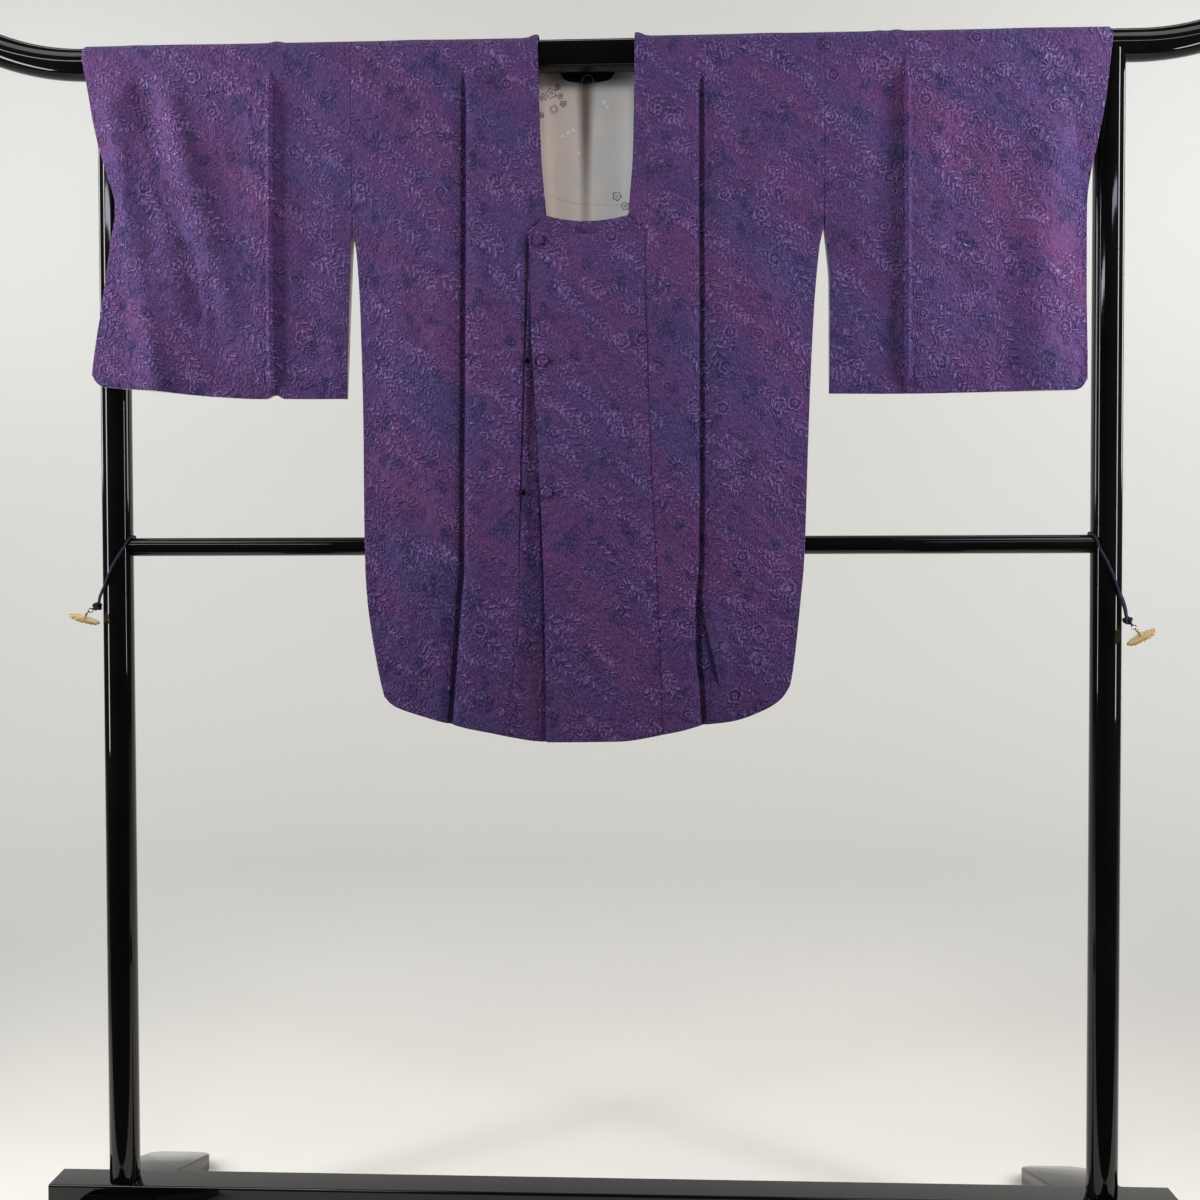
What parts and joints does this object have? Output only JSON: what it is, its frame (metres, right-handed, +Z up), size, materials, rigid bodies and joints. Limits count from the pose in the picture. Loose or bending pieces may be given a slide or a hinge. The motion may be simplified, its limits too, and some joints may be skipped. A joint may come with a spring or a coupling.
{
  "type": "kimono coat on a kimono stand",
  "caption": "Silk kimono coat with a square neck and lapped front, hung over the top bar of a black lacquered kimono stand.",
  "frame": {"origin": "on the floor, midway between the stand's two feet", "axes": "+X runs to the wearer's left, along the stand's bars; +Y to the coat's back; +Z up"},
  "size_m": [1.7286, 0.4, 1.6193],
  "materials": {
    "silk": "purple figured silk with soft diagonal shading",
    "lining": "pale grey-cream lining silk with faint printed flowers",
    "lacquer": "black gloss lacquer on wood",
    "braid": "dark purple braided cord",
    "medallion": "gilt brass",
    "snap": "dark plated metal",
    "thread": "cream twisted thread"
  },
  "bodies": {
    "root": {"stand_top_bar": "lacquer", "stand_post_right": "lacquer", "stand_post_left": "lacquer", "stand_rail": "lacquer", "stand_beam": "lacquer", "stand_foot_right": "lacquer", "stand_foot_left": "lacquer", "cord_right": "braid", "cord_left": "braid", "knot_right": "braid", "knot_left": "braid", "medallion_right": "medallion", "medallion_left": "medallion", "body_right": "silk", "body_left": "silk", "sleeve_right": "silk", "sleeve_left": "silk", "front_panel_under": "silk", "front_panel_over": "silk", "neck_band": "silk", "neck_band_front": "silk", "back_lining": "lining", "button_top": "silk", "button_middle": "silk", "button_low": "silk", "snap_upper": "snap", "snap_lower": "snap", "hanging_loop": "thread"}
  },
  "joints": []
}
